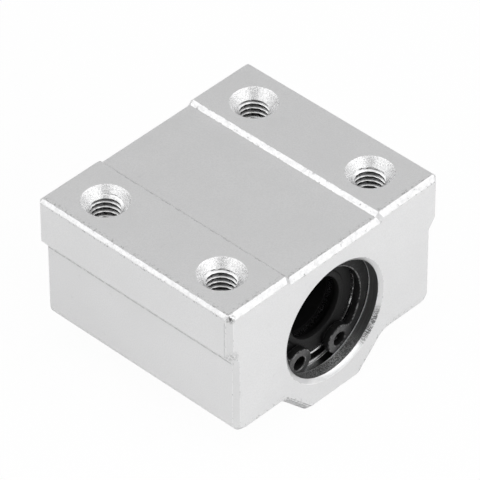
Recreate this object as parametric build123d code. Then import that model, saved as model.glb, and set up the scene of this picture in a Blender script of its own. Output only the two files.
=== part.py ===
from build123d import *
import os
from math import cos, pi, radians, sin, sqrt, tan

# Linear bearing block for an 8 mm shaft: a machined aluminium housing that holds a recirculating
# ball bearing between two internal circlips. Millimetres; X runs across the block, Y along the
# bore and Z up, and the origin is the middle of the bore. The end at -Y is called the front.

# Housing
BLOCK_WIDTH = 34.0
BLOCK_LENGTH = 30.0
PAD_HEIGHT = 11.0            # from the bore axis up to the mounting pads
FLANGE_THICKNESS = 6.0       # from the pads down to the step in each side
SIDE_STEP = 1.0              # how far the body stands in under the flange
STEP_DROP = 1.35             # height of the sloped face of that step
UNDERSIDE_DEPTH = 7.0        # from the bore axis down to the flat underside
HUMP_REACH = 11.0            # from the bore axis down to the hump's flat
HUMP_FLANK_REACH = 10.75     # from the bore axis to each of its 45 degree flanks
RECESS_HALF_WIDTH = 7.05     # floor of the shallow channel between the pads
RECESS_DEPTH = 0.5
END_CHAMFER = 0.6            # round the outline of both end faces
PAD_EDGE_CHAMFER = 0.4
BODY_CORNER_RADIUS = 1.7
HUMP_CORNER_RADIUS = 1.4
HUMP_FOOT_RADIUS = 1.8

# Tapped mounting holes
HOLE_SPACING_X = 24.0
HOLE_SPACING_Y = 18.0
TAP_DRILL = 3.4
COUNTERSINK = 5.7

# Bore of the housing and its circlip grooves
BORE = 15.0
BORE_MOUTH_STEP = 0.5        # how much wider the bore opens at its mouth, in radius
BORE_MOUTH_DEPTH = 0.4
CLIP_GROOVE_DEPTH = 0.35
CLIP_THICKNESS = 1.0
CLIP_PLAY = 0.05             # each side of a circlip in its groove, and round its rim

# Circlips
CLIP_BACK_WIDTH = 2.0        # radial width opposite the gap
CLIP_SIDE_WIDTH = 1.6        # radial width a quarter turn from the gap
CLIP_GAP = 4.9               # between the ends of the ring, behind the lugs
LUG_RADIUS = 1.85
LUG_HOLE = 1.8
LUG_HOLE_REACH = 6.4         # from the bore axis
LUG_ANGLE = 31.0             # from the middle of the gap to each lug hole
LUG_BLEND = 0.5
FRONT_GAP_TURN = -4.5        # the middle of the gap, from straight down towards +X
REAR_GAP_TURN = 12.0

# Bearing: outer sleeve
SHAFT = 8.0
SHAFT_PLAY = 0.01            # from the shaft to the loaded balls and to the seal lips, in radius
BEARING_LENGTH = 24.0
SLEEVE_PLAY = 0.01           # between the sleeve and the housing, in radius
SLEEVE_BORE = 12.44
SLEEVE_END_CHAMFER = 0.2
SLEEVE_MOUTH_BEVEL = 0.12
SLEEVE_GROOVE_WIDTH = 1.1
SLEEVE_GROOVE_DEPTH = 0.35
SLEEVE_GROOVE_SPREAD = 17.5  # over the outer edges of the two grooves

# Bearing: balls and their endless tracks
BALL = 1.588
RACE_PLAY = 0.01             # between a loaded ball and its race
BALLS_PER_ROW = 7
TRACKS = 4
FIRST_TRACK_ANGLE = 45.0
TURN_RADIUS = 1.145          # of the ball centres where a track turns back
TRACK_TILT = 2.0             # leans each track outwards, so that returning balls clear the shaft
RACE_HALF_ANGLE = 9.0

# Bearing: cage, end rings and seals
CAGE_LENGTH = 19.2
CAGE_SHAFT_PLAY = 0.25       # in radius
CAGE_SLEEVE_PLAY = 0.07      # in radius
CAGE_RACE_PLAY = 0.1         # under each race
CAGE_RACE_ANGLE_PLAY = 1.2   # each side of a race
BALL_PLAY = 0.03             # round a ball in its channel, in radius
END_RING_THICKNESS = 0.4
END_RING_BORE = 9.4
END_RING_SEAT_DEPTH = 0.25
END_RING_GAP = 1.4
END_RING_PLAY = 0.03
SEAL_RIM_PLAY = 0.02
SEAL_LIP_WIDTH = 0.8
SEAL_LIP_THICKNESS = 0.7
SEAL_FACE_DEPTH = 0.35       # the seal's flat face stands in from the sleeve's end
SEAL_LIP_STAND = 0.15        # its lip stands proud of that face

# Places that follow from the sizes above
HALF_BEARING = BEARING_LENGTH / 2
HALF_CAGE = CAGE_LENGTH / 2
SLEEVE_RADIUS = BORE / 2 - SLEEVE_PLAY
CLIP_GROOVE_RADIUS = BORE / 2 + CLIP_GROOVE_DEPTH
CLIP_GROOVE_WIDTH = CLIP_THICKNESS + 2 * CLIP_PLAY
CLIP_RADIUS = CLIP_GROOVE_RADIUS - CLIP_PLAY
LOAD_RADIUS = SHAFT / 2 + SHAFT_PLAY + BALL / 2
RACE_RADIUS = LOAD_RADIUS + BALL / 2 + RACE_PLAY
BALL_PITCH = pi * TURN_RADIUS / 2
ROW_LENGTH = BALLS_PER_ROW * BALL_PITCH
CHANNEL_RADIUS = BALL / 2 + BALL_PLAY
CAGE_RADIUS = SLEEVE_BORE / 2 - CAGE_SLEEVE_PLAY
CAGE_BORE_RADIUS = SHAFT / 2 + CAGE_SHAFT_PLAY
END_RING_END = HALF_CAGE + END_RING_THICKNESS
ENDS = {"front": -1, "rear": 1}


def turned(points):
    """A solid turned about the bore axis from (radius, y) corners."""
    return revolve(make_face(Polyline(*points, close=True)), Axis.Y)


def ring(outer, inner, start, end):
    """A plain ring between two radii and two places along the bore."""
    return turned([(inner, start), (outer, start), (outer, end), (inner, end)])


def upright(sketch, middle, thickness):
    """A plate cut from a sketch that stands across the bore, X to the right and Z up."""
    return extrude(Plane.XZ.offset(-middle) * sketch, thickness / 2, both=True)


def corners(outline, x, z):
    """The corners of a housing outline at one height, left and right."""
    return [v for v in outline.vertices() if abs(abs(v.X) - x) < 0.01 and abs(v.Y - z) < 0.01]


def housing_outline():
    half = BLOCK_WIDTH / 2
    body = half - SIDE_STEP
    flange_foot = PAD_HEIGHT - FLANGE_THICKNESS
    recess_floor = PAD_HEIGHT - RECESS_DEPTH
    hump_corner = HUMP_FLANK_REACH * sqrt(2) - HUMP_REACH
    hump_foot = HUMP_FLANK_REACH * sqrt(2) - UNDERSIDE_DEPTH
    right_side = [
        (0, recess_floor),
        (RECESS_HALF_WIDTH, recess_floor),
        (RECESS_HALF_WIDTH + RECESS_DEPTH, PAD_HEIGHT),
        (half, PAD_HEIGHT),
        (half, flange_foot),
        (body, flange_foot - STEP_DROP),
        (body, -UNDERSIDE_DEPTH),
        (hump_foot, -UNDERSIDE_DEPTH),
        (hump_corner, -HUMP_REACH),
        (0, -HUMP_REACH),
    ]
    right_half = make_face(Polyline(*right_side, close=True))
    outline = right_half + mirror(right_half, Plane.YZ)
    outline = chamfer(corners(outline, half, PAD_HEIGHT), PAD_EDGE_CHAMFER)
    outline = fillet(corners(outline, body, -UNDERSIDE_DEPTH), BODY_CORNER_RADIUS)
    outline = fillet(corners(outline, hump_corner, -HUMP_REACH), HUMP_CORNER_RADIUS)
    return fillet(corners(outline, hump_foot, -UNDERSIDE_DEPTH), HUMP_FOOT_RADIUS)


def bore_cutter():
    """The housing's bore, with its widened mouths and the two circlip grooves."""
    end = BLOCK_LENGTH / 2
    bore = BORE / 2
    cutter = ring(bore, 0, -end, end)
    for side in ENDS.values():
        foot = side * (end - BORE_MOUTH_DEPTH)
        mouth = [(0, side * end), (bore + BORE_MOUTH_STEP, side * end), (bore, foot), (0, foot)]
        groove_end = side * (HALF_BEARING + CLIP_GROOVE_WIDTH)
        cutter += turned(mouth)
        cutter += ring(CLIP_GROOVE_RADIUS, 0, side * HALF_BEARING, groove_end)
    return cutter


def tapped_hole_cutter():
    """One hole right through, opened by a 90 degree countersink in the pad."""
    hole = TAP_DRILL / 2
    mouth = COUNTERSINK / 2
    points = [
        (0, PAD_HEIGHT),
        (mouth, PAD_HEIGHT),
        (hole, PAD_HEIGHT - (mouth - hole)),
        (hole, -HUMP_REACH),
        (0, -HUMP_REACH),
    ]
    return revolve(Plane.XZ * make_face(Polyline(*points, close=True)), Axis.Z)


def make_housing():
    block = upright(housing_outline(), 0, BLOCK_LENGTH)
    by_place = block.faces().sort_by(Axis.Y)
    block = chamfer(by_place[0].edges() + by_place[-1].edges(), END_CHAMFER)
    holes = GridLocations(HOLE_SPACING_X, HOLE_SPACING_Y, 2, 2) * tapped_hole_cutter()
    return block - bore_cutter() - holes


def track_turn(i):
    """Turns what is built for a track at +X round the bore to track i."""
    return Rot(0, -(FIRST_TRACK_ANGLE + i * 360 / TRACKS), 0)


def race_sectors(half_angle):
    """Wedges from the bore axis outwards, as long as the bearing, one round each loaded row."""
    reach = BORE
    rise = reach * tan(radians(half_angle))
    wedge = make_face(Polyline((0, 0), (reach, -rise), (reach, rise), close=True))
    return [track_turn(i) * upright(wedge, 0, BEARING_LENGTH) for i in range(TRACKS)]


def make_outer_sleeve():
    bore = SLEEVE_BORE / 2
    seat = bore + END_RING_SEAT_DEPTH
    seat_end = END_RING_END + END_RING_PLAY
    groove = SLEEVE_RADIUS - SLEEVE_GROOVE_DEPTH
    groove_end = SLEEVE_GROOVE_SPREAD / 2
    groove_start = groove_end - SLEEVE_GROOVE_WIDTH
    rear_half = [
        (bore, HALF_CAGE),
        (seat, HALF_CAGE),
        (seat, seat_end),
        (bore, seat_end),
        (bore, HALF_BEARING - SLEEVE_MOUTH_BEVEL),
        (bore + SLEEVE_MOUTH_BEVEL, HALF_BEARING),
        (SLEEVE_RADIUS - SLEEVE_END_CHAMFER, HALF_BEARING),
        (SLEEVE_RADIUS, HALF_BEARING - SLEEVE_END_CHAMFER),
        (SLEEVE_RADIUS, groove_end),
        (groove, groove_end),
        (groove, groove_start),
        (SLEEVE_RADIUS, groove_start),
    ]
    front_half = [(radius, -y) for radius, y in reversed(rear_half)]
    races = ring(groove, RACE_RADIUS, -ROW_LENGTH / 2, ROW_LENGTH / 2)
    sleeve = turned(rear_half + front_half)
    for sector in race_sectors(RACE_HALF_ANGLE):
        sleeve += races & sector
    return sleeve


# Each track lies in a plane of its own: local X runs along the bore, local Y from the loaded row
# to the returning row, and local Z out towards the sleeve. Its origin is the loaded row's middle.
TRACK_PLANE = Plane(
    origin=(LOAD_RADIUS, 0, 0),
    x_dir=(0, 1, 0),
    z_dir=(cos(radians(TRACK_TILT)), 0, -sin(radians(TRACK_TILT))),
)


def on_track(i, shape):
    return track_turn(i) * TRACK_PLANE.location * shape


def channel_cutter():
    """The endless channel of one track, round at its floor and open towards the sleeve."""
    radius = CHANNEL_RADIUS
    top = SLEEVE_RADIUS - LOAD_RADIUS
    floor = ThreePointArc((-radius, 0), (0, -radius), (radius, 0))
    walls = Polyline((radius, 0), (radius, top), (-radius, top), (-radius, 0))
    section = Plane.YZ * make_face(floor + walls)
    row = extrude(section, ROW_LENGTH / 2, both=True)
    turn_axis = Axis((0, TURN_RADIUS, 0), (0, 0, 1))
    turn = Pos(ROW_LENGTH / 2, 0, 0) * revolve(section, turn_axis, revolution_arc=180)
    return row + Pos(0, 2 * TURN_RADIUS, 0) * row + turn + mirror(turn, Plane.YZ)


def make_ball_cage():
    cage = ring(CAGE_RADIUS, CAGE_BORE_RADIUS, -HALF_CAGE, HALF_CAGE)
    under_races = ring(SLEEVE_RADIUS, RACE_RADIUS - CAGE_RACE_PLAY, -HALF_CAGE, HALF_CAGE)
    for sector in race_sectors(RACE_HALF_ANGLE + CAGE_RACE_ANGLE_PLAY):
        cage -= under_races & sector
    channel = channel_cutter()
    for i in range(TRACKS):
        cage -= on_track(i, channel)
    return cage


def make_end_ring(side):
    """A split steel ring, snapped into the sleeve against the end of the cage."""
    rim = SLEEVE_BORE / 2 + END_RING_SEAT_DEPTH - END_RING_PLAY
    whole = ring(rim, END_RING_BORE / 2, side * HALF_CAGE, side * END_RING_END)
    split = Pos(0, side * HALF_CAGE, rim) * Box(END_RING_GAP, 4 * END_RING_THICKNESS, 2 * rim)
    return whole - split


def make_seal(side):
    """A rubber disc in the sleeve's mouth, with a thin lip round the shaft."""
    rim = SLEEVE_BORE / 2 - SEAL_RIM_PLAY
    lip = SHAFT / 2 + SHAFT_PLAY
    lip_root = lip + SEAL_LIP_WIDTH
    face = HALF_BEARING - SEAL_FACE_DEPTH
    lip_face = face + SEAL_LIP_STAND
    lip_back = lip_face - SEAL_LIP_THICKNESS
    section = [
        (rim, END_RING_END),
        (rim, face),
        (lip_root, face),
        (lip_root - SEAL_LIP_STAND, lip_face),
        (lip, lip_face),
        (lip, lip_back),
        (lip_root, lip_back),
        (lip_root, END_RING_END),
    ]
    return turned([(radius, side * y) for radius, y in section])


def make_circlip(side, gap_turn):
    """An internal circlip, widest opposite its gap, with a lug at each end."""
    back = CLIP_RADIUS - CLIP_BACK_WIDTH
    quarter = CLIP_RADIUS - CLIP_SIDE_WIDTH
    inner_radius = (back + quarter**2 / back) / 2
    inner_shift = inner_radius - back
    rim = Circle(CLIP_RADIUS)
    plate = rim - Pos(0, -inner_shift) * Circle(inner_radius)
    plate -= Pos(0, -CLIP_RADIUS) * Rectangle(CLIP_GAP, 2 * CLIP_RADIUS)
    lug_places = [Rot(0, 0, turn) * Pos(0, -LUG_HOLE_REACH) for turn in (-LUG_ANGLE, LUG_ANGLE)]
    for place in lug_places:
        plate += place * Circle(LUG_RADIUS) & rim
    lug_side = LUG_HOLE_REACH * sin(radians(LUG_ANGLE))
    roots = [v for v in plate.vertices() if abs(v.X) > lug_side and v.center().length < CLIP_RADIUS - 0.1]
    plate = fillet(roots, LUG_BLEND)
    for place in lug_places:
        plate -= place * Circle(LUG_HOLE / 2)
    middle = side * (HALF_BEARING + CLIP_GROOVE_WIDTH / 2)
    return upright(Rot(0, 0, gap_turn) * plate, middle, CLIP_THICKNESS)


def row_places(across):
    """Ball centres of a straight row, in the track's own plane."""
    first = (BALL_PITCH - ROW_LENGTH) / 2
    return [(first + n * BALL_PITCH, across) for n in range(BALLS_PER_ROW)]


def turn_places(side):
    """The two ball centres in the turn at one end of a track, in the track's own plane."""
    sideways = TURN_RADIUS * sin(radians(45))
    along = side * (ROW_LENGTH / 2 + sideways)
    return [(along, TURN_RADIUS - sideways), (along, TURN_RADIUS + sideways)]


def ball_groups(i):
    """The balls of one track, grouped by the stretch that they move along."""
    groups = {
        "load_balls": row_places(0),
        "return_balls": row_places(2 * TURN_RADIUS),
        "front_turn_balls": turn_places(ENDS["front"]),
        "rear_turn_balls": turn_places(ENDS["rear"]),
    }
    ball = Sphere(BALL / 2)
    return {
        f"{name}_{i + 1}": Compound([on_track(i, Pos(x, y, 0) * ball) for x, y in places])
        for name, places in groups.items()
    }


nodes = {
    "housing": make_housing(),
    "outer_sleeve": make_outer_sleeve(),
    "ball_cage": make_ball_cage(),
    "circlip_front": make_circlip(ENDS["front"], FRONT_GAP_TURN),
    "circlip_rear": make_circlip(ENDS["rear"], REAR_GAP_TURN),
}
for end_name, side in ENDS.items():
    nodes[f"end_ring_{end_name}"] = make_end_ring(side)
    nodes[f"seal_{end_name}"] = make_seal(side)
for track in range(TRACKS):
    nodes.update(ball_groups(track))

os.makedirs("parts", exist_ok=True)
for node_name, shape in nodes.items():
    export_step(shape, f"parts/{node_name}.step")
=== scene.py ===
from math import cos, exp, pi, radians, sin

import bmesh
import bpy
from mathutils import Matrix, Vector


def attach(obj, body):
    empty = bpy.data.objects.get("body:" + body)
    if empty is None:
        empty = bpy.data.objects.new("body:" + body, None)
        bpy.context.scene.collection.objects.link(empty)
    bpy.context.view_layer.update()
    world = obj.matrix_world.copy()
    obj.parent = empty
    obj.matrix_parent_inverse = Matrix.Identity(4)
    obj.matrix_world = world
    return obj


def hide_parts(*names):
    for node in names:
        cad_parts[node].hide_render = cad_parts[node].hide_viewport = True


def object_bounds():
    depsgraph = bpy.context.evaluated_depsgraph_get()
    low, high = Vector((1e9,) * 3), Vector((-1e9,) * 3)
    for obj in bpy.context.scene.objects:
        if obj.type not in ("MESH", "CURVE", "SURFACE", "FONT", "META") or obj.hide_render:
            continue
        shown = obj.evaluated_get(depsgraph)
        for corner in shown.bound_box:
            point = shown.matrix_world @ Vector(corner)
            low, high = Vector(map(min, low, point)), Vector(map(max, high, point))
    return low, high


# Looks of the linear bearing block: fine blasted aluminium with cut threads, black circlips and
# seals, and a steel bearing. Everything is in metres, in the frame of the solids: X runs across
# the block, Y along the bore, and Z up. The end at -Y faces the camera.
MM = 0.001

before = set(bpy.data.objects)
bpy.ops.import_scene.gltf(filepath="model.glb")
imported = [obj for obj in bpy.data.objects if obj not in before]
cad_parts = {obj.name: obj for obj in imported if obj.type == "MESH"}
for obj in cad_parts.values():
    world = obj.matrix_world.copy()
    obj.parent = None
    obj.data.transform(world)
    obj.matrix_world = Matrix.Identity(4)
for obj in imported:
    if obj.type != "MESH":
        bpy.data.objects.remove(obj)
CAD_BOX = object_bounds()
LOWEST, HIGHEST = CAD_BOX

# The photograph's camera, fitted to the block's edges
IMAGE_WIDTH = 480            # pixels
FOCAL_LENGTH = 4985.0        # pixels
SENSOR_WIDTH = 36.0          # in millimetres, as Blender has it
CAMERA_AZIMUTH = -45.99      # degrees, as are the next two
CAMERA_ELEVATION = 40.64
CAMERA_ROLL = -0.275
CAMERA_DISTANCE = 565.3 * MM
CAMERA_RIGHT = 0.15 * MM
CAMERA_UP = 2.32 * MM

# Outline of the housing, as in the solids
PAD_HEIGHT = HIGHEST.z
CHANNEL_DEPTH = 0.5 * MM              # between the pads, with sides that lean at 45 degrees
CHANNEL_FLOOR = PAD_HEIGHT - CHANNEL_DEPTH
CHANNEL_SIDE = 7.05 * MM              # half the width of its floor
CHANNEL_EDGE = CHANNEL_SIDE + CHANNEL_DEPTH
BODY_SIDE = HIGHEST.x - 1 * MM        # half the width under the flange
PAD_EDGE = HIGHEST.x - 0.4 * MM       # where the chamfer along the outside of a pad begins
FLANGE_FOOT = PAD_HEIGHT - 6 * MM
STEP_FOOT = FLANGE_FOOT - 1.35 * MM   # where the slope under the flange meets the body
UNDERSIDE = -7 * MM
CHAMFER_START = HIGHEST.y - 0.6 * MM  # along the bore, where the end faces' chamfers begin
HUMP_LINE = 14.35 * MM                # distance from the middle minus height, where the hump's begin

# Threaded holes, whose axes stand where the solid holes are
HOLE_X = 12 * MM
HOLE_Y = 9 * MM
SINK_RADIUS = 2.87 * MM
SINK_MARGIN = 0.04 * MM      # how far past the countersink its own finish reaches
RIM_FLARE = 0.02 * MM        # how far the rim opens at the pad
RIM_DEPTH = 0.04 * MM        # over which that fades
THREAD_CREST = 1.73 * MM
THREAD_ROOT = 2.12 * MM
THREAD_PITCH = 0.7 * MM
THREAD_FLANK = 0.32          # width of a flank, and of the flat at the root, in pitches
THREAD_ROOT_FLAT = 0.10
THREAD_END = 2.6 * MM
THREAD_STARTS = {(1, 1): 0.22, (1, -1): 0.5, (-1, 1): 0.0, (-1, -1): 0.5}   # part of a turn
THREAD_COLUMNS = 72
THREAD_ROWS_PER_PITCH = 14
CUTTER_TOP = PAD_HEIGHT + 0.06 * MM
CUTTER_FOOT_RADIUS = THREAD_CREST - 0.3 * MM

# Bore of the housing and what stands in it
BORE_RADIUS = 7.5 * MM
BORE_MOUTH_RADIUS = BORE_RADIUS + 0.5 * MM
MOUTH_START = HIGHEST.y - 0.4 * MM    # along the bore, where it begins to widen
CHATTER_PLACE = radians(37)           # round the bore, from +X down
SLEEVE_END = 12 * MM
GROOVE_END = SLEEVE_END + 1.1 * MM
LUG_REACH = 6.4 * MM                  # from the bore axis to the plier holes of the circlips
LUG_ANGLE = 31                        # degrees from the middle of the gap to each
LUG_RADIUS = 1.85 * MM
CLIP_FACE = GROOVE_END - 0.05 * MM    # along the bore
GAP_TURNS = {"front": -4.5, "rear": 12.0}   # degrees from straight down towards +X

# Knocked places: where they are, how far they reach and how dark they are
KNOCKS = (
    ((-16.5 * MM, -14.7 * MM, 10.7 * MM), 0.75 * MM, 0.9),
    ((-16.5 * MM, -15.0 * MM, 5.0 * MM), 1.1 * MM, 0.4),
)
KNOCK_CORE = 0.2             # part of the reach that is as dark as that

# How much each piece's edges are rounded, and the corners that count as edges
HOUSING_ROUNDING = 0.06 * MM
CIRCLIP_ROUNDING = 0.15 * MM
SEAL_ROUNDING = 0.04 * MM
SLEEVE_ROUNDING = 0.03 * MM
ROUNDED_ANGLE = radians(28)
SHARP_ANGLE = radians(32)
MERGED_ANGLE = radians(0.1)  # faces that meet at less than this become one
WELDED_GAP = 0.0001 * MM     # corners closer than this become one

# How much of a face's normal lies along an axis, from which the face's finish is found
LEVEL = 0.99
UPRIGHT = 0.95
LEANING = 0.6
END_CHAMFER_RISE = 0.45
TURNED = 0.3

# Painted shade on the corners of the end faces, which get less light than the faces: their tone, where 1
# is the tone of the faces
CORNER_PAINTED_SHADE = 0.91
HUMP_CORNER_PAINTED_SHADE = 0.72

# Studio: brightness of the world as light, in reflections, and in its darker part above the camera
AMBIENT = 0.26
TENT = 0.52
OVER_CAMERA = 0.30
DARK_LIFT = 45               # degrees up to the middle of that part
DARK_FADE = (0.90, 0.97)     # cosines of the angles from its middle between which it fades in
FLOOR_HALF_WIDTH = 1.5
FLOOR_GAP = 0.02 * MM        # under the block
FLOOR_COLOUR = 0.98
FLOOR_GLOW = 0.96            # share of the floor's tone that is glow, where the camera sees it
MIRRORED_GLOW = 0.2          # and in reflections
# Lamps: degrees to the right of the camera and up, distance, width, height, brightness, and
# whether they show in reflections
LAMPS = {
    "soft_box_right": (78, 44, 0.65, 1.2, 0.5, 0.95, True),
    "soft_box_left": (-80, 44, 0.65, 1.2, 0.5, 0.92, True),
    "soft_box_overhead": (0, 90, 0.6, 0.5, 0.5, 0.8, True),
    "front_fill": (46, 15, 0.7, 0.6, 0.3, 4.6, False),
    "left_fill": (-30, 15, 0.7, 0.3, 0.3, 1.6, False),
}


def photo_camera():
    data = bpy.data.cameras.new("photo_camera")
    data.sensor_width = SENSOR_WIDTH
    data.lens = FOCAL_LENGTH / IMAGE_WIDTH * SENSOR_WIDTH
    data.clip_start = 0.05
    turn = radians(CAMERA_AZIMUTH)
    lift = radians(CAMERA_ELEVATION)
    roll = radians(CAMERA_ROLL)
    back = Vector((sin(turn) * cos(lift), -cos(turn) * cos(lift), sin(lift)))
    level = Vector((cos(turn), sin(turn), 0))
    upright = back.cross(level)
    right = level * cos(roll) + upright * sin(roll)
    up = upright * cos(roll) - level * sin(roll)
    place = back * CAMERA_DISTANCE + right * CAMERA_RIGHT + up * CAMERA_UP
    camera = bpy.data.objects.new("photo_camera", data)
    camera.matrix_world = Matrix.Translation(place) @ Matrix((right, up, back)).transposed().to_4x4()
    bpy.context.scene.collection.objects.link(camera)
    bpy.context.scene.camera = camera


class Material:
    """A node material with short calls for the nodes that these finishes need."""

    def __init__(self, name):
        self.material = bpy.data.materials.new(name)
        self.material.use_nodes = True
        self.tree = self.material.node_tree
        self.shader = self.tree.nodes["Principled BSDF"]
        self.place = self.node("ShaderNodeTexCoord").outputs["Object"]

    def node(self, kind, **settings):
        node = self.tree.nodes.new(kind)
        for name, value in settings.items():
            setattr(node, name, value)
        return node

    def join(self, source, target):
        if isinstance(source, bpy.types.NodeSocket):
            self.tree.links.new(source, target)
        else:
            target.default_value = source

    def math(self, operation, *values):
        node = self.node("ShaderNodeMath", operation=operation)
        for socket, value in zip(node.inputs, values):
            self.join(value, socket)
        return node.outputs[0]

    def product(self, first, *factors):
        for factor in factors:
            first = self.math("MULTIPLY", first, factor)
        return first

    def larger(self, first, second):
        return self.math("MAXIMUM", first, second)

    def size(self, value):
        return self.math("ABSOLUTE", value)

    def away(self, place):
        """The way from a fixed place to the shaded point."""
        node = self.node("ShaderNodeVectorMath", operation="SUBTRACT")
        self.join(self.place, node.inputs[0])
        self.join(place, node.inputs[1])
        return node.outputs[0]

    def parts(self, vector):
        node = self.node("ShaderNodeSeparateXYZ")
        self.join(vector, node.inputs[0])
        return node.outputs

    def joined(self, x, y, z):
        node = self.node("ShaderNodeCombineXYZ")
        for socket, value in zip(node.inputs, (x, y, z)):
            self.join(value, socket)
        return node.outputs[0]

    def length(self, vector):
        node = self.node("ShaderNodeVectorMath", operation="LENGTH")
        self.join(vector, node.inputs[0])
        return node.outputs["Value"]

    def noise(self, grain, detail=2.0, roughness=0.5, place=None):
        """Noise whose grains are about that many metres across, from 0 to 1."""
        node = self.node("ShaderNodeTexNoise")
        self.join(self.place if place is None else place, node.inputs["Vector"])
        node.inputs["Scale"].default_value = 1 / grain
        node.inputs["Detail"].default_value = detail
        node.inputs["Roughness"].default_value = roughness
        return node.outputs["Fac"]

    def mapped(self, value, low, high, new_low=0.0, new_high=1.0):
        """new_low where a value is at low, new_high where it is at high, and even in between."""
        node = self.node("ShaderNodeMapRange")
        for socket, number in zip(node.inputs, (value, low, high, new_low, new_high)):
            self.join(number, socket)
        return node.outputs[0]

    def mixed(self, factor, first, second):
        """A colour between two others. The mix node's colours are its seventh and eighth sockets."""
        node = self.node("ShaderNodeMix", data_type="RGBA")
        self.join(factor, node.inputs[0])
        self.join(first, node.inputs[6])
        self.join(second, node.inputs[7])
        return node.outputs[2]

    def band(self, value, low, high, blur):
        """1 between two values and 0 outside them, with edges that soft."""
        start = self.mapped(value, low - blur, low + blur)
        end = self.mapped(value, high - blur, high + blur, 1.0, 0.0)
        return self.product(start, end)

    def bumps(self, *layers):
        """Bumps of (height field, depth in metres), one over the other."""
        normal = None
        for height, depth in layers:
            node = self.node("ShaderNodeBump")
            node.inputs["Strength"].default_value = 1.0
            node.inputs["Distance"].default_value = depth
            self.join(height, node.inputs["Height"])
            if normal is not None:
                self.join(normal, node.inputs["Normal"])
            normal = node.outputs[0]
        self.join(normal, self.shader.inputs["Normal"])

    def finish(self, colour, metallic, roughness, specular=0.5):
        self.join(colour, self.shader.inputs["Base Color"])
        self.join(roughness, self.shader.inputs["Roughness"])
        self.join(metallic, self.shader.inputs["Metallic"])
        self.shader.inputs["Specular IOR Level"].default_value = specular
        return self.material


def grey(value):
    """A grey with a trace of blue."""
    return (value, value, value * 1.004, 1.0)


def knocked(m):
    """How much of a material is dark from the knocks on the front left corner."""
    torn = m.mapped(m.noise(0.35 * MM, detail=3, roughness=0.6), 0.44, 0.50)
    share = 0.0
    for place, reach, dark in KNOCKS:
        distance = m.length(m.away(place))
        share = m.larger(share, m.mapped(distance, KNOCK_CORE * reach, reach, dark, 0.0))
    return m.product(share, torn)


def chattered(m):
    """How much of a material is torn by the tool's chatter, low on one side of the bore's mouth."""
    x, y, z = m.parts(m.place)
    angle = m.math("ARCTAN2", z, x)
    near = m.mapped(m.math("COSINE", m.math("ADD", angle, CHATTER_PLACE)), 0.935, 0.985)
    stretched = m.joined(m.product(angle, BORE_MOUTH_RADIUS), m.product(y, 0.25), 0.0)
    strokes = m.noise(0.16 * MM, detail=2, place=stretched)
    fine = m.noise(0.15 * MM, detail=3, roughness=0.65)
    torn = m.larger(m.mapped(strokes, 0.48, 0.53), m.mapped(fine, 0.51, 0.55))
    return m.product(near, torn)


def greyed_over(m, tone, where, patches, shade):
    """A tone, covered with a grey where both a place and the patches on it are near 1; used for soot,
    specks and painted shade.
    """
    return m.mixed(m.product(where, patches), tone, grey(shade))


def shaded_corners(m, tone, grain):
    """Painted shade under the flange, with soot on the slope there, painted shade in the channel's
    corners, and a darker band behind the front left chamfer.
    """
    side, along, height = m.parts(m.place)
    across = m.size(side)
    # painted shade, with soot, on the slope under the flange where it meets the body
    slope = m.band(across, BODY_SIDE - 0.1 * MM, BODY_SIDE + 0.3 * MM, 0.06 * MM)
    slope = m.product(slope, m.band(height, STEP_FOOT - 0.2 * MM, STEP_FOOT + 0.2 * MM, 0.10 * MM))
    tone = greyed_over(m, tone, slope, m.mapped(grain, 0.36, 0.54, 0.10, 0.50), 0.12)
    # painted shadow on the body just under the flange, fading downwards
    body = m.band(across, BODY_SIDE - 0.1 * MM, BODY_SIDE + 0.1 * MM, 0.02 * MM)
    body = m.product(body, m.band(height, STEP_FOOT - 0.45 * MM, STEP_FOOT + 0.1 * MM, 0.5 * MM))
    tone = greyed_over(m, tone, body, m.mapped(grain, 0.3, 0.6, 0.0, 0.06), 0.3)

    on_top = m.mapped(height, CHANNEL_FLOOR - 0.2 * MM, CHANNEL_FLOOR - 0.1 * MM)
    between = m.mapped(m.size(along), CHAMFER_START - 0.15 * MM, CHAMFER_START - 0.05 * MM, 1.0, 0.0)
    on_top = m.product(on_top, between)
    # painted shade along the channel's left side and in its right corner
    left = m.band(side, -CHANNEL_EDGE - 0.07 * MM, -CHANNEL_EDGE + 0.11 * MM, 0.04 * MM)
    tone = greyed_over(m, tone, m.product(left, on_top), m.mapped(grain, 0.46, 0.58, 0.0, 0.6), 0.12)
    right = m.band(side, CHANNEL_SIDE - 0.05 * MM, CHANNEL_SIDE + 0.09 * MM, 0.04 * MM)
    tone = greyed_over(m, tone, m.product(right, on_top), m.mapped(grain, 0.48, 0.58, 0.0, 0.5), 0.15)

    # a darker band on the left face, just behind the front chamfer
    corner = m.band(along, -CHAMFER_START + 0.1 * MM, -CHAMFER_START + 0.28 * MM, 0.03 * MM)
    corner = m.product(corner, m.mapped(side, -BODY_SIDE + 0.2 * MM, -BODY_SIDE + 0.1 * MM))
    corner = m.product(corner, m.band(height, FLANGE_FOOT, PAD_HEIGHT - 0.9 * MM, 0.1 * MM))
    return greyed_over(m, tone, corner, m.mapped(grain, 0.40, 0.60, 0.05, 0.35), 0.25)


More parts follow.
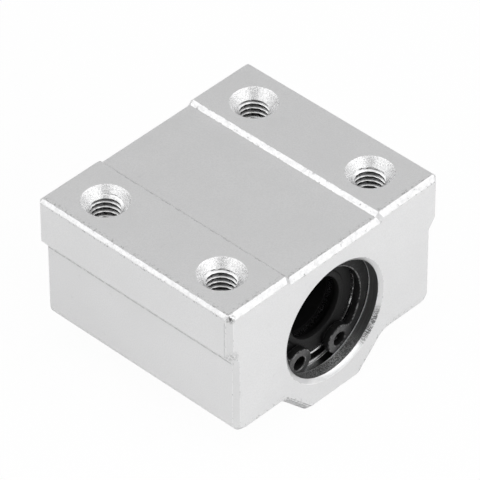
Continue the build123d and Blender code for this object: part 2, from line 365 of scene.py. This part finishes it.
def specked_edges(m, tone):
    """Specks along the front and left edges of the top, and low on the end faces."""
    side, along, height = m.parts(m.place)
    across = m.size(side)
    front = m.mapped(along, -CHAMFER_START + 0.7 * MM, -CHAMFER_START)
    left = m.mapped(side, -PAD_EDGE + 0.7 * MM, -PAD_EDGE)
    top = m.mapped(height, CHANNEL_FLOOR - 0.2 * MM, CHANNEL_FLOOR - 0.1 * MM)
    top = m.product(m.larger(front, left), top)
    flank = m.math("SUBTRACT", across, height)
    hump = m.mapped(flank, HUMP_LINE - 0.95 * MM, HUMP_LINE - 0.05 * MM)
    hump = m.product(hump, m.mapped(height, UNDERSIDE + 1.0 * MM, UNDERSIDE + 0.3 * MM))
    foot = m.mapped(across, 7.5 * MM, 8.5 * MM)
    foot = m.product(foot, m.mapped(height, UNDERSIDE + 1.4 * MM, UNDERSIDE + 0.6 * MM))
    at_ends = m.mapped(m.size(along), CHAMFER_START - 0.1 * MM, CHAMFER_START)
    low = m.product(m.larger(hump, foot), at_ends)
    specks = m.mapped(m.noise(0.30 * MM, detail=3, roughness=0.7), 0.54, 0.60, 0.0, 0.6)
    return greyed_over(m, tone, m.larger(top, low), specks, 0.2)


def soiled_hump(m, tone, grain):
    """Soot along the left edge of the hump, where its end faces meet their chamfers."""
    place = m.parts(m.place)
    flank = m.math("SUBTRACT", m.size(place["X"]), place["Z"])
    line = m.band(flank, HUMP_LINE - 0.23 * MM, HUMP_LINE + 0.05 * MM, 0.05 * MM)
    line = m.product(line, m.mapped(place["X"], -2 * MM, -3 * MM))
    line = m.product(line, m.mapped(place["Z"], UNDERSIDE + 0.7 * MM, UNDERSIDE + 0.5 * MM))
    return greyed_over(m, tone, line, m.mapped(grain, 0.36, 0.56, 0.0, 0.7), 0.15)


def blasted_aluminium(name="blasted_aluminium", shade=1.0):
    """The outside of the block: fine grain, a few smudges, painted shade and soot in its corners, specks
    and knocks on its edges; shade darkens it all, as painted shade.
    """
    m = Material(name)
    fine = m.noise(0.16 * MM, detail=3)
    wide = m.noise(6 * MM, detail=2)
    smudge = m.mapped(m.noise(1.3 * MM, detail=3, roughness=0.65), 0.66, 0.76, 0.0, 0.12)
    # shade below 1 makes a darker copy of this finish, as painted shade for faces that get less light
    tone = m.mixed(m.mapped(fine, 0.35, 0.65), grey(0.755 * shade), grey(0.815 * shade))
    tone = m.mixed(m.mapped(wide, 0.35, 0.65, 0.0, 0.3), tone, grey(0.74 * shade))
    tone = m.mixed(smudge, tone, grey(0.4))
    grain = m.noise(0.7 * MM, detail=4, roughness=0.75)
    tone = shaded_corners(m, tone, grain)
    tone = specked_edges(m, tone)
    tone = soiled_hump(m, tone, grain)
    tone = m.mixed(knocked(m), tone, grey(0.1))
    m.bumps((fine, 0.006 * MM))
    return m.finish(tone, 0.75, m.mapped(fine, 0.3, 0.7, 0.40, 0.52))


def cut_chamfer():
    """The chamfers round the pads and the end faces: bare, bright and a little nicked."""
    m = Material("cut_chamfer")
    mottle = m.noise(0.5 * MM, detail=4, roughness=0.7)
    fine = m.noise(0.14 * MM, detail=2)
    nicks = m.mapped(m.noise(0.4 * MM, detail=4, roughness=0.8), 0.62, 0.68)
    tone = m.mixed(m.mapped(mottle, 0.35, 0.65), grey(0.72), grey(0.88))
    tone = m.mixed(nicks, tone, grey(0.35))
    tone = m.mixed(knocked(m), tone, grey(0.1))
    m.bumps((fine, 0.008 * MM), (nicks, -0.02 * MM))
    return m.finish(tone, 0.85, m.mapped(fine, 0.3, 0.7, 0.28, 0.40))


def worn_edge():
    """The rounded edges of the housing: bright and chipped, with chatter on the bore's mouth and a
    painted highlight low on its edge.
    """
    m = Material("worn_edge")
    chips = m.mapped(m.noise(0.40 * MM, detail=4, roughness=0.8), 0.54, 0.60)
    fine = m.noise(0.12 * MM)
    tone = m.mixed(chips, grey(0.84), grey(0.52))
    place = m.parts(m.place)
    radius = m.length(m.joined(place["X"], 0.0, place["Z"]))
    mouth_edge = m.mapped(radius, BORE_MOUTH_RADIUS + 0.5 * MM, BORE_MOUTH_RADIUS + 0.6 * MM, 1.0, 0.0)
    low = m.mapped(place["Z"], -5.8 * MM, -6.6 * MM)
    # painted highlight: the mouth's outer edge is painted white low down, where it catches light
    tone = m.mixed(m.product(mouth_edge, low), tone, grey(1.0))
    tone = m.mixed(m.product(mouth_edge, chattered(m)), tone, grey(0.4))
    tone = m.mixed(knocked(m), tone, grey(0.1))
    m.bumps((fine, 0.004 * MM), (chips, -0.02 * MM))
    return m.finish(tone, 0.85, m.mapped(fine, 0.3, 0.7, 0.28, 0.42))


def cut_aluminium():
    """Countersinks: cut metal, torn into small facets by the drill's chatter."""
    m = Material("cut_aluminium")
    torn = m.noise(0.17 * MM, detail=3, roughness=0.6)
    fine = m.noise(0.08 * MM, detail=2)
    pits = m.mapped(m.noise(0.13 * MM, detail=2), 0.58, 0.64, 0.0, 0.4)
    tone = m.mixed(m.mapped(torn, 0.40, 0.60), grey(0.68), grey(0.92))
    tone = m.mixed(pits, tone, grey(0.4))
    m.bumps((torn, 0.030 * MM), (fine, 0.006 * MM))
    return m.finish(tone, 0.6, m.mapped(torn, 0.3, 0.7, 0.24, 0.34))


def cut_thread():
    """Threads: painted light and shade by which way each face looks, bright where it looks up and dark on
    the crests and undersides.
    """
    m = Material("cut_thread")
    normal = m.node("ShaderNodeNewGeometry").outputs["Normal"]
    torn = m.noise(0.14 * MM, detail=3, roughness=0.6)
    lit_upward = m.math("ADD", m.parts(normal)["Z"], m.mapped(torn, 0.3, 0.7, -0.12, 0.12))
    # painted light and shade: flanks that face up are bright, crests and undersides dark
    tone = m.mixed(m.mapped(lit_upward, 0.25, 0.55), grey(0.035), grey(0.86))
    m.bumps((torn, 0.010 * MM))
    return m.finish(tone, 0.9, m.mapped(torn, 0.3, 0.7, 0.28, 0.42))


def turned_bore():
    """The bored wall, its groove and its mouth: fine turning marks, and painted light in spots low on the
    wall.

    Low in the groove, its left part is spotted as the wall is and its right part is painted dark, as
    painted shadow. The shoulder behind it has a strip of painted highlight, and the groove's outer,
    burred edge a painted highlight. Above its bottom, the mouth is painted darker, as painted shade.
    """
    m = Material("turned_bore")
    x, y, z = m.parts(m.place)
    depth = m.size(y)
    radius = m.length(m.joined(x, 0.0, z))
    angle = m.math("ARCTAN2", z, x)
    marks = m.noise(0.07 * MM, detail=2, place=m.joined(y, m.product(angle, 0.2 * MM), 0.0))
    fine = m.noise(0.15 * MM, detail=3, roughness=0.65)
    to_left = m.mapped(x, 0.7 * MM, -0.4 * MM)

    wall = m.mixed(m.mapped(marks, 0.35, 0.65), grey(0.20), grey(0.36))
    # painted light: spots over the lowest part of the wall, outside the groove and partly in its left
    # part
    spots = m.mixed(m.mapped(fine, 0.45, 0.55), grey(0.36), grey(1.0))
    low = m.mapped(m.math("SINE", angle), -0.75, -0.95)
    outside_groove = m.mapped(depth, GROOVE_END - 0.02 * MM, GROOVE_END)
    spotted = m.larger(outside_groove, m.product(to_left, 0.45))
    wall = m.mixed(m.product(low, spotted), wall, spots)

    # painted highlight along the groove's outer, burred edge, stronger to the right
    burr_highlight = m.band(depth, GROOVE_END, GROOVE_END + 0.18 * MM, 0.02 * MM)
    burr_highlight = m.product(burr_highlight, m.mapped(fine, 0.32, 0.47), m.mapped(to_left, 0.0, 1.0, 1.0, 0.2))
    wall = m.mixed(burr_highlight, wall, grey(0.98))

    # painted shadow low in the groove, darker to the right
    groove = m.band(depth, SLEEVE_END + 0.03 * MM, GROOVE_END - 0.02 * MM, 0.02 * MM)
    groove = m.product(groove, m.mapped(z, -6.0 * MM, -6.5 * MM))
    groove = m.product(groove, m.mapped(to_left, 0.0, 1.0, 0.96, 0.45))
    wall = m.mixed(groove, wall, grey(0.02))

    mouth = m.mixed(m.mapped(fine, 0.35, 0.65), grey(0.92), grey(1.0))
    # painted shade over the mouth, all but its bottom, which stays bright
    lowness = m.math("MULTIPLY_ADD", x, -0.1, z)
    mouth = m.mixed(m.mapped(lowness, -6.8 * MM, -5.9 * MM, 0.0, 0.5), mouth, grey(0.5))
    mouth = m.mixed(m.product(chattered(m), 0.85), mouth, grey(0.06))
    tone = m.mixed(m.mapped(depth, MOUTH_START - 0.05 * MM, MOUTH_START), wall, mouth)

    # painted highlight: a bright strip low on the shoulder behind the groove, on its left
    shoulder = m.band(depth, SLEEVE_END - 0.1 * MM, SLEEVE_END + 0.01 * MM, 0.005 * MM)
    rim = m.band(radius, BORE_RADIUS - 0.1 * MM, BORE_RADIUS + 0.13 * MM, 0.03 * MM)
    shoulder = m.product(shoulder, rim, m.mapped(z, -6.2 * MM, -6.6 * MM), m.mapped(x, 0.9 * MM, 0.0))
    tone = m.mixed(shoulder, tone, grey(0.98))

    # the painted highlights are made less metallic, so that they stay bright
    lit = m.larger(shoulder, m.product(burr_highlight, 0.5))
    m.bumps((marks, 0.010 * MM), (fine, 0.010 * MM))
    return m.finish(tone, m.mapped(lit, 0.0, 1.0, 0.9, 0.1), m.mapped(fine, 0.3, 0.7, 0.30, 0.42))


def black_spring_steel(end):
    """Circlip faces, black, rubbed grey in places, with a painted highlight on the upper left of each
    lug.
    """
    m = Material(f"black_spring_steel_{end}")
    outer_face = m.mapped(m.size(m.parts(m.place)["Y"]), CLIP_FACE - 0.1 * MM, CLIP_FACE - 0.02 * MM)
    lug_highlights = 0.0
    for turn in (-LUG_ANGLE, LUG_ANGLE):
        angle = radians(GAP_TURNS[end] + turn)
        offset = m.parts(m.away((LUG_REACH * sin(angle), 0, -LUG_REACH * cos(angle))))
        distance = m.length(m.joined(offset["X"], 0.0, offset["Z"]))
        near = m.mapped(distance, LUG_RADIUS, LUG_RADIUS + 0.15 * MM, 1.0, 0.0)
        rise = m.math("SUBTRACT", offset["Z"], offset["X"])
        # painted highlight on each lug's upper left, where its domed face catches light, broken by
        # streaks
        lit_upper_left = m.mapped(rise, -1.2 * MM, 0.6 * MM, 0.15, 1.0)
        lug_highlights = m.larger(lug_highlights, m.product(near, outer_face, lit_upper_left))
    streaks = m.noise(0.25 * MM, detail=3, roughness=0.6)
    fine = m.noise(0.10 * MM, detail=3)
    wide = m.noise(1.5 * MM, detail=2)
    rubbed = m.mapped(m.noise(0.35 * MM, detail=4, roughness=0.75), 0.56, 0.70)
    tone = m.mixed(m.mapped(wide, 0.3, 0.7), grey(0.010), grey(0.020))
    tone = m.mixed(m.product(rubbed, 0.6), tone, grey(0.07))
    tone = m.mixed(m.product(lug_highlights, m.mapped(streaks, 0.35, 0.65, 0.5, 1.0)), tone, grey(0.12))
    m.bumps((fine, 0.006 * MM))
    return m.finish(tone, 0.35, m.mapped(fine, 0.3, 0.7, 0.40, 0.55), specular=0.2)


def rubbed_spring_steel():
    """The thin edges of the circlips, where the black has worn to grey."""
    m = Material("rubbed_spring_steel")
    worn = m.noise(0.4 * MM, detail=3, roughness=0.65)
    tone = m.mixed(m.mapped(worn, 0.42, 0.62), grey(0.03), grey(0.26))
    return m.finish(tone, 0.8, 0.42)


def ground_steel():
    """The sleeve: ground bright, with a painted highlight on its lowest part, and dark on its end faces
    and, in places, their edges.
    """
    m = Material("ground_steel")
    place = m.parts(m.place)
    depth = m.size(place["Y"])
    lines = m.noise(0.05 * MM, detail=2, place=m.joined(place["Y"], 0.0, 0.0))
    fine = m.noise(0.2 * MM, detail=3)
    # painted highlight: the lowest part of the sleeve is painted bright, and its edges stay bright there
    lit_lowest = m.mapped(place["Z"], -5.5 * MM, -6.5 * MM)
    worn = m.larger(m.mapped(m.noise(0.9 * MM, detail=3, roughness=0.7), 0.50, 0.58), lit_lowest)
    # the end faces, and their edges where the noise leaves them, are dark
    end_face = m.mapped(depth, SLEEVE_END - 0.02 * MM, SLEEVE_END - 0.01 * MM)
    mouth = m.mapped(depth, SLEEVE_END - 0.2 * MM, SLEEVE_END - 0.15 * MM)
    dark_edge = m.product(m.math("SUBTRACT", mouth, end_face), m.math("SUBTRACT", 1.0, worn))
    tone = m.mixed(m.mapped(fine, 0.3, 0.7), grey(0.36), grey(0.46))
    tone = m.mixed(lit_lowest, tone, grey(0.95))
    tone = m.mixed(end_face, tone, grey(0.03))
    tone = m.mixed(dark_edge, tone, grey(0.05))
    m.bumps((lines, 0.003 * MM), (fine, 0.002 * MM))
    return m.finish(tone, 1.0, m.mapped(fine, 0.3, 0.7, 0.20, 0.32))


def polished_steel():
    """Balls: bright, with a little haze."""
    m = Material("polished_steel")
    haze = m.noise(0.6 * MM, detail=3)
    tone = m.mixed(m.mapped(haze, 0.3, 0.7), grey(0.66), grey(0.74))
    return m.finish(tone, 1.0, m.mapped(haze, 0.3, 0.7, 0.05, 0.12))


def moulded_plastic():
    """The ball cage: matt black, with a fine grain."""
    m = Material("moulded_plastic")
    grain = m.noise(0.12 * MM, detail=2)
    wide = m.noise(2.5 * MM, detail=2)
    tone = m.mixed(m.mapped(wide, 0.3, 0.7), grey(0.005), grey(0.009))
    m.bumps((grain, 0.001 * MM))
    return m.finish(tone, 0.0, m.mapped(grain, 0.3, 0.7, 0.55, 0.65), specular=0.06)


def black_rubber():
    """The seals: black, with a little dust."""
    m = Material("black_rubber")
    grain = m.noise(0.14 * MM, detail=3)
    dust = m.mapped(m.noise(0.9 * MM, detail=4, roughness=0.7), 0.60, 0.8, 0.0, 0.4)
    tone = m.mixed(dust, grey(0.010), grey(0.05))
    m.bumps((grain, 0.008 * MM))
    return m.finish(tone, 0.0, m.mapped(grain, 0.3, 0.7, 0.50, 0.66), specular=0.22)


def welded_copy(node, name, rounding, materials):
    """A copy of a node's mesh with joined corners and rounded edges, which get the last material."""
    shape = bmesh.new()
    shape.from_mesh(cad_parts[node].data)
    bmesh.ops.remove_doubles(shape, verts=shape.verts, dist=WELDED_GAP)
    bmesh.ops.dissolve_limit(shape, angle_limit=MERGED_ANGLE, verts=shape.verts, edges=shape.edges)
    mesh = bpy.data.meshes.new(name)
    shape.to_mesh(mesh)
    shape.free()
    if "custom_normal" in mesh.attributes:
        mesh.attributes.remove(mesh.attributes["custom_normal"])
    mesh.materials.clear()
    for material in materials:
        mesh.materials.append(material)
    for face in mesh.polygons:
        face.material_index = 0
        face.use_smooth = True
    piece = bpy.data.objects.new(name, mesh)
    bpy.context.scene.collection.objects.link(piece)
    edges = piece.modifiers.new("edges", "BEVEL")
    edges.limit_method = "ANGLE"
    edges.angle_limit = ROUNDED_ANGLE
    edges.width = rounding
    edges.segments = 2
    edges.material = len(materials) - 1
    edges.use_clamp_overlap = True
    return piece


def settled(piece):
    """Gives the piece the mesh that its modifiers make, with sharp corners kept sharp."""
    bpy.context.view_layer.update()
    shown = piece.evaluated_get(bpy.context.evaluated_depsgraph_get())
    mesh = bpy.data.meshes.new_from_object(shown)
    piece.modifiers.clear()
    piece.data = mesh
    mesh.set_sharp_from_angle(angle=SHARP_ANGLE)
    flat = piece.modifiers.new("flat", "WEIGHTED_NORMAL")
    flat.keep_sharp = True
    flat.weight = 100
    return piece


def thread_depth(turn, height):
    """How far the thread is cut beyond its crests, for a right-hand thread, from 0 to 1."""
    phase = (height / THREAD_PITCH - turn) % 1.0
    from_root = abs(phase - 0.5)
    rise = (THREAD_FLANK + THREAD_ROOT_FLAT / 2 - from_root) / THREAD_FLANK
    return min(1.0, max(0.0, rise))


def hole_radius(turn, height, start):
    """Radius of a countersunk, threaded hole at one turn round it and one height."""
    sink = SINK_RADIUS - (PAD_HEIGHT - height)
    rim = RIM_FLARE * exp((height - PAD_HEIGHT) / RIM_DEPTH)
    runout = min(1.0, max(0.0, (height - THREAD_END) / THREAD_PITCH))
    thread = THREAD_CREST + (THREAD_ROOT - THREAD_CREST) * thread_depth(turn + start, height) * runout
    return max(sink, thread) + rim


def thread_cutter():
    """What the countersinks and threads of all four holes take away."""
    step = THREAD_PITCH / THREAD_ROWS_PER_PITCH
    rows = int((CUTTER_TOP - THREAD_END) / step)
    shape = bmesh.new()
    for (side_x, side_y), start in THREAD_STARTS.items():
        rings = []
        for row in range(rows + 1):
            height = CUTTER_TOP - row * step
            ring = []
            for column in range(THREAD_COLUMNS):
                turn = column / THREAD_COLUMNS
                radius = CUTTER_FOOT_RADIUS if row == rows else hole_radius(turn, height, start)
                angle = 2 * pi * turn
                x = side_x * HOLE_X + radius * cos(angle)
                y = side_y * HOLE_Y + radius * sin(angle)
                ring.append(shape.verts.new((x, y, height)))
            rings.append(ring)
        for upper, lower in zip(rings, rings[1:]):
            for column in range(THREAD_COLUMNS):
                after = (column + 1) % THREAD_COLUMNS
                shape.faces.new((upper[column], lower[column], lower[after], upper[after]))
        shape.faces.new(rings[0])
        shape.faces.new(reversed(rings[-1]))
    mesh = bpy.data.meshes.new("thread_cutter")
    shape.to_mesh(mesh)
    shape.free()
    cutter = bpy.data.objects.new("thread_cutter", mesh)
    bpy.context.scene.collection.objects.link(cutter)
    return cutter


def near_a_hole(point, reach):
    """Whether a point is nearer than a reach to one of the four holes' axes."""
    return Vector((abs(point.x) - HOLE_X, abs(point.y) - HOLE_Y)).length < reach


def on_chamfer(centre, normal):
    """Whether a face lies on the chamfer along the top of an end, or slopes left beside a pad."""
    level_end = abs(normal.y) > LEANING and normal.z > END_CHAMFER_RISE
    faces_left = normal.x < -LEANING and normal.z > LEANING
    return level_end or (faces_left and centre.z > CHANNEL_FLOOR - 0.05 * MM)


def housing_finish(polygon):
    """The name of the finish of one of the housing's faces, or None where it keeps the one it has."""
    centre, normal = polygon.center, polygon.normal
    pad = abs(normal.z) > LEVEL and centre.z > PAD_HEIGHT - 0.01 * MM
    if near_a_hole(centre, SINK_RADIUS + SINK_MARGIN) and not pad:
        cone_radius = SINK_RADIUS + SINK_MARGIN - (PAD_HEIGHT - centre.z)
        in_thread = cone_radius < THREAD_CREST or not near_a_hole(centre, cone_radius)
        return "thread" if in_thread else "cone"
    if polygon.material_index != 0:
        return None
    between_ends = abs(centre.y) < HIGHEST.y - 0.001 * MM
    if between_ends and Vector((centre.x, centre.z)).length < BORE_MOUTH_RADIUS + 0.02 * MM:
        return "bore"
    if on_chamfer(centre, normal):
        return "chamfer"
    if TURNED < abs(normal.y) < UPRIGHT:
        on_hump = centre.z < UNDERSIDE + 0.5 * MM and normal.z < -TURNED
        return "hump_corner" if on_hump else "corner"
    return None


def finished_housing():
    """The housing with its threads cut, and a finish for each kind of face."""
    finishes = {
        "face": blasted_aluminium(),
        # the corners and the hump's downward corners are darker copies of the faces' finish, as painted
        # shade
        "corner": blasted_aluminium("shaded_corner_aluminium", CORNER_PAINTED_SHADE),
        "chamfer": cut_chamfer(),
        "cone": cut_aluminium(),
        "thread": cut_thread(),
        "bore": turned_bore(),
        "hump_corner": blasted_aluminium("shaded_hump_corner_aluminium", HUMP_CORNER_PAINTED_SHADE),
        "edge": worn_edge(),
    }
    piece = welded_copy("housing", "housing_finished", HOUSING_ROUNDING, finishes.values())
    cutter = thread_cutter()
    cut_holes = piece.modifiers.new("holes", "BOOLEAN")
    cut_holes.operation = "DIFFERENCE"
    cut_holes.solver = "MANIFOLD"
    cut_holes.object = cutter
    settled(piece)
    bpy.data.objects.remove(cutter)
    order = list(finishes)
    for polygon in piece.data.polygons:
        finish = housing_finish(polygon)
        if finish is not None:
            polygon.material_index = order.index(finish)
    return piece


def seat(piece, node):
    """Puts a piece in the place of a node of the block."""
    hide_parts(node)
    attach(piece, "block")


def rounded(node, rounding, *materials):
    """A rounded copy of a piece of the bearing."""
    return settled(welded_copy(node, f"{node}_finished", rounding, materials))


def give_material(piece, material):
    piece.data.materials.clear()
    piece.data.materials.append(material)


def dress_block():
    """Housing, bearing and circlips: what stays put."""
    seat(finished_housing(), "housing")
    rubbed = rubbed_spring_steel()
    steel, rubber, plastic = ground_steel(), black_rubber(), moulded_plastic()
    for end in ("front", "rear"):
        clip = rounded(f"circlip_{end}", CIRCLIP_ROUNDING, black_spring_steel(end), rubbed)
        seat(clip, f"circlip_{end}")
        seal = rounded(f"seal_{end}", SEAL_ROUNDING, rubber, rubber)
        seat(seal, f"seal_{end}")
    seat(rounded("outer_sleeve", SLEEVE_ROUNDING, steel, steel), "outer_sleeve")
    for node, finish in (("ball_cage", plastic), ("end_ring_front", steel), ("end_ring_rear", steel)):
        give_material(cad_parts[node], finish)


def dress_balls():
    chrome = polished_steel()
    for name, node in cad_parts.items():
        if "_balls_" in name:
            give_material(node, chrome)


def seen_or(tree, lit, seen):
    """Mixes two shaders: what lights the scene, and what the camera and reflections see."""
    path = tree.nodes.new("ShaderNodeLightPath")
    share = path.outputs["Is Camera Ray"]
    for name in ("Is Glossy Ray", "Is Transmission Ray"):
        either = tree.nodes.new("ShaderNodeMath")
        either.operation = "MAXIMUM"
        tree.links.new(share, either.inputs[0])
        tree.links.new(path.outputs[name], either.inputs[1])
        share = either.outputs[0]
    mix = tree.nodes.new("ShaderNodeMixShader")
    tree.links.new(share, mix.inputs[0])
    tree.links.new(lit, mix.inputs[1])
    tree.links.new(seen, mix.inputs[2])
    return mix.outputs[0]


def studio_world():
    """A tent: grey in reflections, darker still above the camera, and white where the camera sees it."""
    world = bpy.data.worlds.new("studio")
    world.use_nodes = True
    bpy.context.scene.world = world
    tree = world.node_tree
    lit = tree.nodes["Background"]
    lit.inputs["Color"].default_value = (AMBIENT, AMBIENT, AMBIENT, 1)
    seen = tree.nodes.new("ShaderNodeBackground")
    place = tree.nodes.new("ShaderNodeTexCoord")
    facing = tree.nodes.new("ShaderNodeVectorMath")
    facing.operation = "DOT_PRODUCT"
    tree.links.new(place.outputs["Generated"], facing.inputs[0])
    facing.inputs[1].default_value = toward(0, DARK_LIFT)
    tent = tree.nodes.new("ShaderNodeMapRange")
    for socket, number in zip(tent.inputs[1:], (*DARK_FADE, TENT, OVER_CAMERA)):
        socket.default_value = number
    tree.links.new(facing.outputs["Value"], tent.inputs[0])
    path = tree.nodes.new("ShaderNodeLightPath")
    white = tree.nodes.new("ShaderNodeMath")
    white.operation = "MAXIMUM"
    tree.links.new(tent.outputs[0], white.inputs[0])
    tree.links.new(path.outputs["Is Camera Ray"], white.inputs[1])
    tree.links.new(white.outputs[0], seen.inputs["Color"])
    output = tree.nodes["World Output"]
    tree.links.new(seen_or(tree, lit.outputs[0], seen.outputs[0]), output.inputs["Surface"])


def studio_floor():
    """A white ground that glows for the camera, so that it stays white, and less in reflections."""
    half = FLOOR_HALF_WIDTH
    level = LOWEST.z - FLOOR_GAP
    mesh = bpy.data.meshes.new("floor")
    corners = [(-half, -half, level), (half, -half, level), (half, half, level), (-half, half, level)]
    mesh.from_pydata(corners, [], [(0, 1, 2, 3)])
    floor = bpy.data.objects.new("floor", mesh)
    bpy.context.scene.collection.objects.link(floor)
    material = bpy.data.materials.new("floor_white")
    material.use_nodes = True
    tree = material.node_tree
    tree.nodes.remove(tree.nodes["Principled BSDF"])
    matt = tree.nodes.new("ShaderNodeBsdfDiffuse")
    matt.inputs["Color"].default_value = (FLOOR_COLOUR, FLOOR_COLOUR, FLOOR_COLOUR, 1)
    glow = tree.nodes.new("ShaderNodeEmission")
    glow.inputs["Strength"].default_value = 1.0
    bright = tree.nodes.new("ShaderNodeMixShader")
    path = tree.nodes.new("ShaderNodeLightPath")
    share = tree.nodes.new("ShaderNodeMapRange")
    for socket, number in zip(share.inputs[1:], (0.0, 1.0, MIRRORED_GLOW, FLOOR_GLOW)):
        socket.default_value = number
    tree.links.new(path.outputs["Is Camera Ray"], share.inputs[0])
    tree.links.new(share.outputs[0], bright.inputs[0])
    tree.links.new(matt.outputs[0], bright.inputs[1])
    tree.links.new(glow.outputs[0], bright.inputs[2])
    output = tree.nodes["Material Output"]
    tree.links.new(seen_or(tree, matt.outputs[0], bright.outputs[0]), output.inputs["Surface"])
    mesh.materials.append(material)


def toward(turn, lift):
    """The direction that is so many degrees to the right of the camera and above the floor."""
    angle = radians(CAMERA_AZIMUTH + turn)
    return Vector((sin(angle) * cos(radians(lift)), -cos(angle) * cos(radians(lift)), sin(radians(lift))))


def soft_box(name, turn, lift, distance, width, height, brightness, mirrored):
    """A rectangular lamp that faces the block, as bright as a surface of that radiance."""
    data = bpy.data.lights.new(name, "AREA")
    data.shape = "RECTANGLE"
    data.size = width
    data.size_y = height
    data.energy = brightness * pi * width * height
    lamp = bpy.data.objects.new(name, data)
    lamp.location = toward(turn, lift) * distance
    lamp.rotation_euler = toward(turn, lift).to_track_quat("Z", "Y").to_euler()
    lamp.visible_glossy = mirrored
    bpy.context.scene.collection.objects.link(lamp)


photo_camera()
studio_world()
studio_floor()
for lamp_name, settings in LAMPS.items():
    soft_box(lamp_name, *settings)
dress_block()
dress_balls()
bpy.context.scene.view_settings.view_transform = "Standard"
